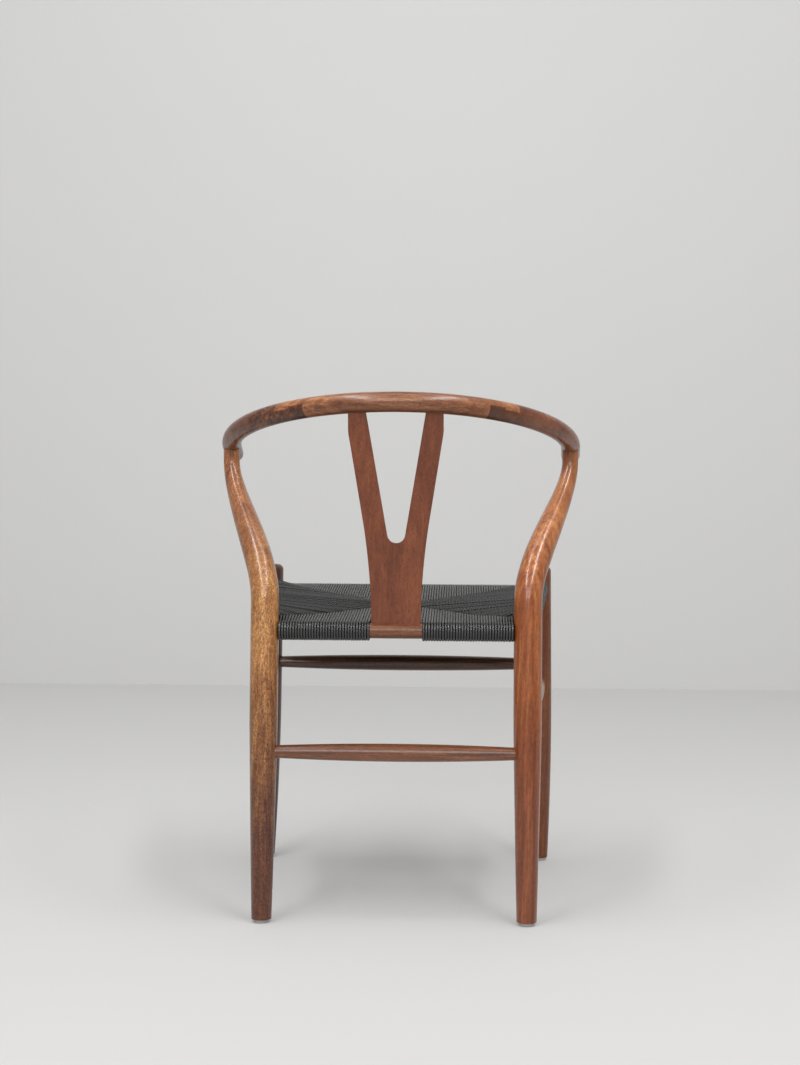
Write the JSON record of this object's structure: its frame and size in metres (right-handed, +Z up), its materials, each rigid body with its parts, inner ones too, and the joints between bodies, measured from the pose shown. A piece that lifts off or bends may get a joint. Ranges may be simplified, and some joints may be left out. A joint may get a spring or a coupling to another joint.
{
  "type": "armchair",
  "caption": "Wooden armchair with a bow-shaped top rail, a forked back splat, bent rear legs, turned stretchers and a black woven cord seat.",
  "frame": {"origin": "centre of the bounding box on the floor, under the middle of the seat", "axes": "+Z up, +Y towards the back of the chair, so the sitter faces -Y, and +X to the sitter's left"},
  "size_m": [0.553, 0.512, 0.76],
  "materials": {
    "wood_golden": "satin oiled",
    "wood_reddish": "satin oiled",
    "wood_dark": "satin oiled",
    "seat_cord": "twisted paper cord",
    "glide_plastic": "matte",
    "steel": "bright"
  },
  "bodies": {
    "root": {"top_rail_centre": "wood_golden", "rear_leg_left": "wood_golden", "front_leg_left": "wood_golden", "top_rail_arm_left": "wood_dark", "top_rail_arm_right": "wood_reddish", "back_splat": "wood_reddish", "rear_leg_right": "wood_reddish", "front_leg_right": "wood_reddish", "front_seat_rail": "wood_golden", "rear_seat_rail": "wood_golden", "left_seat_rail": "wood_golden", "right_seat_rail": "wood_golden", "front_stretcher": "wood_dark", "rear_stretcher": "wood_dark", "left_side_stretcher": "wood_dark", "right_side_stretcher": "wood_dark", "woven_seat": "seat_cord", "front_foot_glides": "glide_plastic", "rear_foot_glides": "glide_plastic", "glide_nails": "steel"}
  },
  "joints": []
}
